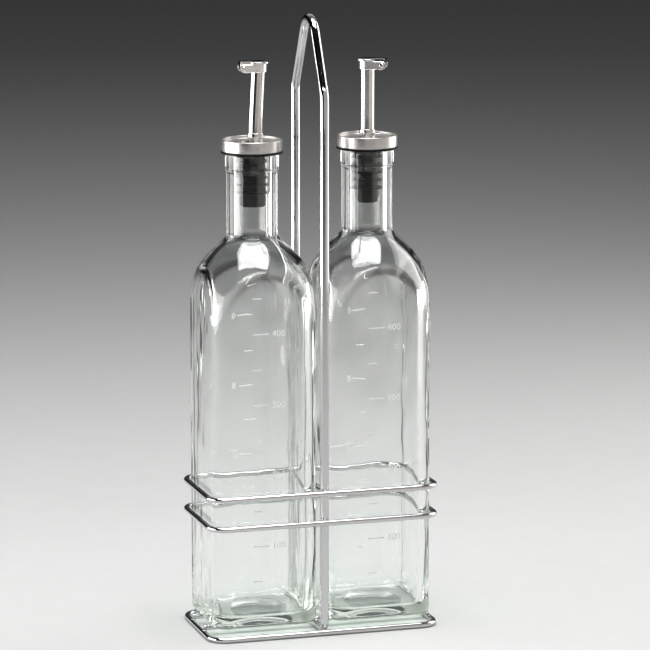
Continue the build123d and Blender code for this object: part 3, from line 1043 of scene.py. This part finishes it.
def sheet_steel():
    """Stainless as it leaves the tumbling drum: satin, and set lighter overall than the other stainless parts
    as painted brightness where the lights catch it.
    """
    finish, tree, shader, place = new_finish("sheet_steel")
    cloud = grain(tree, place, 300.0)
    nicks = grain(tree, place, 2600.0, 3.0)
    shader.inputs["Metallic"].default_value = 1.0
    # Painted highlight: this base colour is lighter than the collar's and the tube's stainless, so that the
    # clip reads as brightly lit.
    wire_up(
        tree,
        (tint(tree, cloud, (0.74, 0.725, 0.71), (0.84, 0.825, 0.81)), shader.inputs["Base Color"]),
        (spread(tree, nicks, 0.24, 0.36), shader.inputs["Roughness"]),
    )
    dents(tree, shader, (cloud, 0.02 * MM), (nicks, 0.001 * MM))
    return finish


def mouth_at(side):
    """The place of the lid's parts: about the middle of the spout's mouth, hinge along +X."""
    spout_turn, hinge_turn = (math.radians(b) for b in BEARINGS[side])
    out = spout_line(SPOUT_Z - CLIP_HEIGHT / 2)
    x, y = SIDES[side] + out * math.cos(spout_turn) * MM, out * math.sin(spout_turn) * MM
    return Matrix.Translation((x, y, 0)) @ Matrix.Rotation(hinge_turn, 4, "Z")


def strip(build, stations, thick, edge=0.12):
    """A bent strip: each station is (point, sideways direction, half height)."""
    rings = []
    for (x, y), (nx, ny), half in stations:
        t, e = thick / 2, min(edge, half * 0.5)
        section = [
            (-t, -half + e), (-t, half - e), (-t + e, half), (t - e, half),
            (t, half - e), (t, -half + e), (t - e, -half), (-t + e, -half),
        ]
        rings.append([build.verts.new((x + nx * s, y + ny * s, PIN_Z + h)) for s, h in section])
    skin(build, rings, capped=True)


def clip_mesh(place):
    """The strap and its ears, whose ends are rounded about the pin."""
    build = bmesh.new()
    middle_r = TUBE_R + CLIP_WALL / 2
    half = CLIP_HEIGHT / 2
    stations = []
    for i in range(15):
        angle = math.pi / 2 * i / 14
        place_on_ear = (HINGE_REACH + half * math.cos(angle), middle_r)
        stations.append((place_on_ear, (0, 1), max(half * math.sin(angle), EAR_TIP)))
    stations += [((x, middle_r), (0, 1), half) for x in (6.0, 4.0, 2.0)]
    for i in range(33):
        angle = math.pi / 2 + math.pi * i / 32
        way = (math.cos(angle), math.sin(angle))
        stations.append(((middle_r * way[0], middle_r * way[1]), way, half))
    mirrored = [((x, -y), (nx, -ny), h) for (x, y), (nx, ny), h in reversed(stations[:18])]
    strip(build, stations + mirrored, CLIP_WALL)
    return close_mesh("clip", build, place)


def along_y(profile, place, segments=36):
    """A solid turned about the hinge line, from (radius, distance along the line) pairs."""
    hinge = Matrix.Translation((HINGE_REACH * MM, 0, PIN_Z * MM)) @ Matrix.Rotation(math.radians(90), 4, "X")
    return turned("turned", profile, place @ hinge, segments=segments, solid=True)


satin = sheet_steel()
for side in SIDES:
    place = mouth_at(side)
    clip = new_object(side + "_hinge_clip", clip_mesh(place))
    clip.data.materials.append(satin)
    settle(clip, side + "_pourer", "polished_steel", "hinge_clip_" + side)
    end = EAR_Y + PIN_HEAD
    dome = [
        (NEAR_AXIS, -end), (0.6, -end + 0.03), (1.05, -end + 0.14),
        (PIN_HEAD_R, -EAR_Y - 0.03), (PIN_HEAD_R, -EAR_Y), (PIN_R, -EAR_Y),
    ]
    rivet = dome + [(r, -y) for r, y in reversed(dome)]
    pin = new_object(side + "_hinge_pin", along_y(rivet, place))
    pin.data.materials.append(steel)
    settle(pin, side + "_pourer", "polished_steel", "hinge_pin_" + side)


# ---- Spout lids ------------------------------------------------------------------
# A round stainless flap, slightly crowned, that drops shut on the spout and tips back
# when the bottle is tilted; its tongue ends in a knuckle that swings on the rivet.
LID_Z, LID_THICK, LID_R = 309.0, 1.5, 5.7
KNUCKLE_HALF, KNUCKLE_R, TONGUE_EDGE = 3.55, 1.85, 0.15


def lid_mesh(place):
    """The flap, its tongue and the knuckle, which overlap as one forging."""
    top = LID_Z + LID_THICK
    crown = [
        (NEAR_AXIS, LID_Z), (5.2, LID_Z), (LID_R - 0.1, LID_Z + 0.12), (LID_R, LID_Z + 0.4),
        (LID_R - 0.05, top - 0.55), (LID_R - 0.35, top - 0.3), (LID_R - 1.0, top - 0.14),
        (3.0, top - 0.03), (NEAR_AXIS, top),
    ]
    parts = [turned("flap", crown, place, segments=72, solid=True)]
    end = HINGE_REACH + KNUCKLE_R
    outline = [(2.0, LID_Z + 0.02), (6.6, LID_Z + 0.02), (6.45, PIN_Z + 0.6)]
    for i in range(17):
        angle = math.pi + 0.35 + (math.pi - 0.35) * i / 16
        outline.append((HINGE_REACH + KNUCKLE_R * math.cos(angle), PIN_Z + KNUCKLE_R * math.sin(angle)))
    outline += [
        (end, top - 0.75), (end - 0.2, top - 0.4), (end - 0.6, top - 0.22),
        (4.0, top - 0.14), (2.0, top - 0.14),
    ]
    build = bmesh.new()
    layers = []
    cx, cz = 7.0, 308.0
    outer, inner = KNUCKLE_HALF, KNUCKLE_HALF - TONGUE_EDGE
    for y, inset in ((-outer, TONGUE_EDGE), (-inner, 0), (inner, 0), (outer, TONGUE_EDGE)):
        layers.append([
            build.verts.new((x + (cx - x) * inset / 4, y, z + (cz - z) * inset / 4)) for x, z in outline
        ])
    skin(build, layers, capped=True)
    parts.append(close_mesh("tongue", build, place))
    return join_meshes("lid", parts)


for side in SIDES:
    flap = new_object(side + "_lid_flap", lid_mesh(mouth_at(side)))
    flap.data.materials.append(steel)
    settle(flap, side + "_lid", "polished_steel", "lid_" + side)


# ---- Table, lights and camera ----------------------------------------------------
# A plain pale matt table in a dark room, with a soft light on the left, dimmer warm
# cards on the right and a wide one overhead, so that it darkens away from the lights.
FLOOR_REACH = 9.0
CAMERA_BEARING = -16.81  # degrees round from the front


def pale_sheet():
    """Plain pale card, matt and very slightly mottled."""
    finish, tree, shader, place = new_finish("pale_sheet")
    mottle = grain(tree, place, 40.0, 2.0)
    shader.inputs["Specular IOR Level"].default_value = 0.0
    wire_up(
        tree,
        (tint(tree, mottle, (0.42, 0.42, 0.42), (0.44, 0.44, 0.44)), shader.inputs["Base Color"]),
        (spread(tree, mottle, 0.6, 0.7), shader.inputs["Roughness"]),
    )
    return finish


sheet = bpy.data.meshes.new("floor")
floor_corners = [(x * FLOOR_REACH, y * FLOOR_REACH, 0) for x, y in ((-1, -1), (1, -1), (1, 1), (-1, 1))]
sheet.from_pydata(floor_corners, [], [(0, 1, 2, 3)])
sheet.materials.append(pale_sheet())
table = new_object("floor", sheet)
table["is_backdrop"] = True


def soft_light(name, bearing, distance, height, width, tall, power, colour, aim_z):
    """A rectangular soft light at a bearing from the camera's, positive to its right."""
    lamp = bpy.data.lights.new(name, "AREA")
    lamp.shape = "RECTANGLE"
    lamp.size, lamp.size_y = width, tall
    lamp.energy = power
    lamp.color = colour
    thing = bpy.data.objects.new(name, lamp)
    bpy.context.scene.collection.objects.link(thing)
    angle = math.radians(CAMERA_BEARING + bearing)
    thing.location = (distance * math.sin(angle), -distance * math.cos(angle), height)
    thing.rotation_euler = (thing.location - Vector((0, 0, aim_z))).to_track_quat("Z", "Y").to_euler()


soft_light("left_softbox", -83, 0.95, 0.20, 1.1, 0.6, 11.5, (1.0, 0.995, 0.98), 0.2)
soft_light("right_card", 58, 1.0, 0.45, 1.25, 1.0, 2.2, (1.0, 0.94, 0.88), 0.3)
soft_light("upper_card", 8, 1.0, 0.50, 0.62, 0.75, 0.85, (1.0, 0.94, 0.88), 0.3)
soft_light("right_strip", 115, 0.95, 0.45, 0.79, 1.1, 8.0, (1.0, 0.99, 0.97), 0.3)
soft_light("overhead_softbox", 0, 0.12, 1.25, 0.95, 0.7, 22.0, (1.0, 1.0, 1.0), 0.2)
soft_light("front_bar", 8, 0.88, 1.02, 0.9, 0.14, 5.1, (1.0, 0.99, 0.98), 0.2)
soft_light("back_panel", 180, 1.7, 1.5, 2.4, 1.0, 2.6, (0.97, 0.99, 1.0), 0.2)

world = bpy.data.worlds.new("dark_room")
world.use_nodes = True
sky = world.node_tree
toward = add_node(sky, "ShaderNodeTexCoord")
behind = add_node(sky, "ShaderNodeVectorMath", operation="DOT_PRODUCT")
camera_turn = math.radians(CAMERA_BEARING)
behind.inputs[1].default_value = (-0.6 * math.sin(camera_turn), 0.6 * math.cos(camera_turn), 0.8)
curtain = add_node(sky, "ShaderNodeValToRGB")
curtain.color_ramp.elements[0].position = 0.70
curtain.color_ramp.elements[0].color = (0.006, 0.006, 0.0065, 1)
curtain.color_ramp.elements[1].position = 0.95
curtain.color_ramp.elements[1].color = (0.20, 0.207, 0.212, 1)
wire_up(
    sky,
    (toward.outputs["Generated"], behind.inputs[0]),
    (behind.outputs["Value"], curtain.inputs["Fac"]),
    (curtain.outputs["Color"], sky.nodes["Background"].inputs["Color"]),
)
bpy.context.scene.world = world

camera = bpy.data.objects.new("camera", bpy.data.cameras.new("camera"))
bpy.context.scene.collection.objects.link(camera)
camera.data.lens = 204.2
camera.data.sensor_width = 36.0
camera.data.clip_end = 60.0
camera.location = (-0.560185, -1.882677, 0.532531)
camera.rotation_euler = (math.radians(79.422), 0, math.radians(CAMERA_BEARING))
scene = bpy.context.scene
scene.camera = camera
scene.view_settings.view_transform = "Standard"
scene.cycles.max_bounces = 24
scene.cycles.transmission_bounces = 24
scene.cycles.glossy_bounces = 12
scene.cycles.transparent_max_bounces = 24
scene.cycles.use_denoising = True

low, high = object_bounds()
